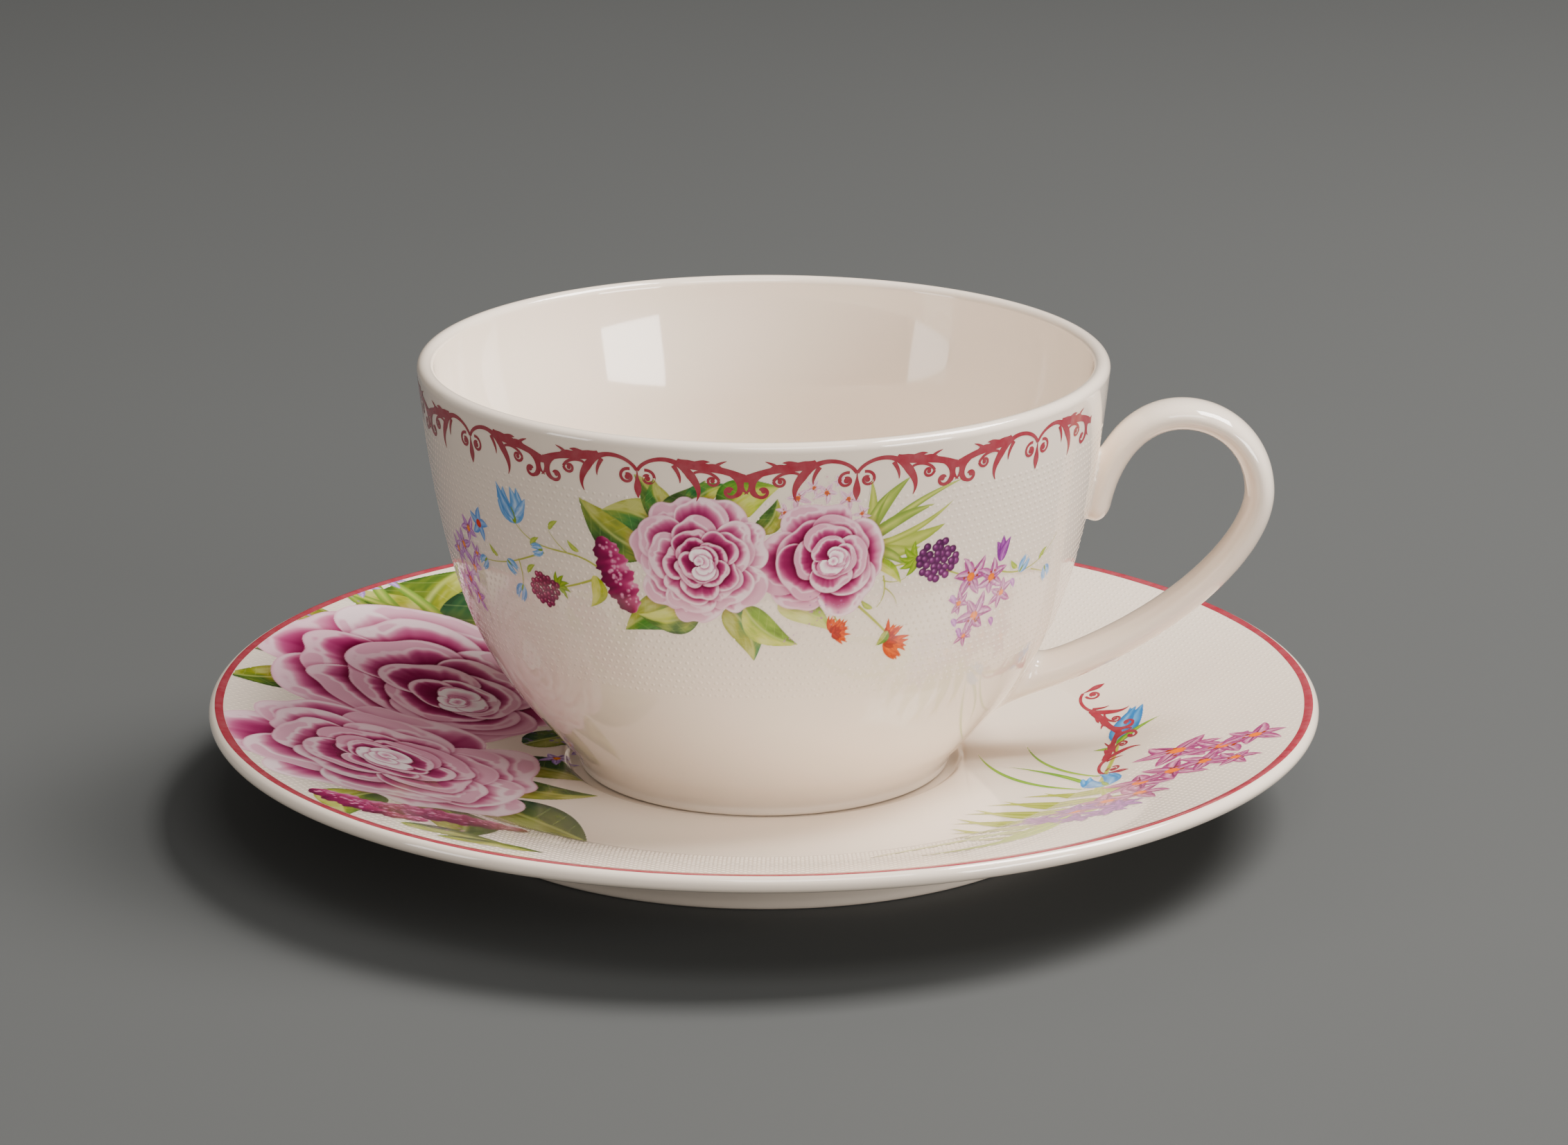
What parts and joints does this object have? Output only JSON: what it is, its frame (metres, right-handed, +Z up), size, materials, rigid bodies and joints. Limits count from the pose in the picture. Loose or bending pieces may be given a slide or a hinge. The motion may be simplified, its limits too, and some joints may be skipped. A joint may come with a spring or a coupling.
{
  "type": "teacup and saucer",
  "caption": "Round porcelain teacup with a looped strap handle, standing in the seat of its matching saucer.",
  "frame": {"origin": "on the table, on the saucer's axis, which is also the cup's axis", "axes": "+Z up along the axis, +X towards the handle, -Y towards the side with the main flower spray"},
  "size_m": [0.155, 0.155, 0.0647],
  "materials": {
    "saucer_porcelain": "glossy clear glaze over warm white body",
    "cup_porcelain": "glossy clear glaze over warm white body"
  },
  "bodies": {
    "saucer": {"saucer": "saucer_porcelain"},
    "cup": {"cup_body": "cup_porcelain", "cup_handle": "cup_porcelain"}
  },
  "joints": [
    {"name": "cup_lift", "type": "slide", "parent": "saucer", "child": "cup", "axis": [0, 0, 1], "range_m": [0, 0.08]}
  ]
}
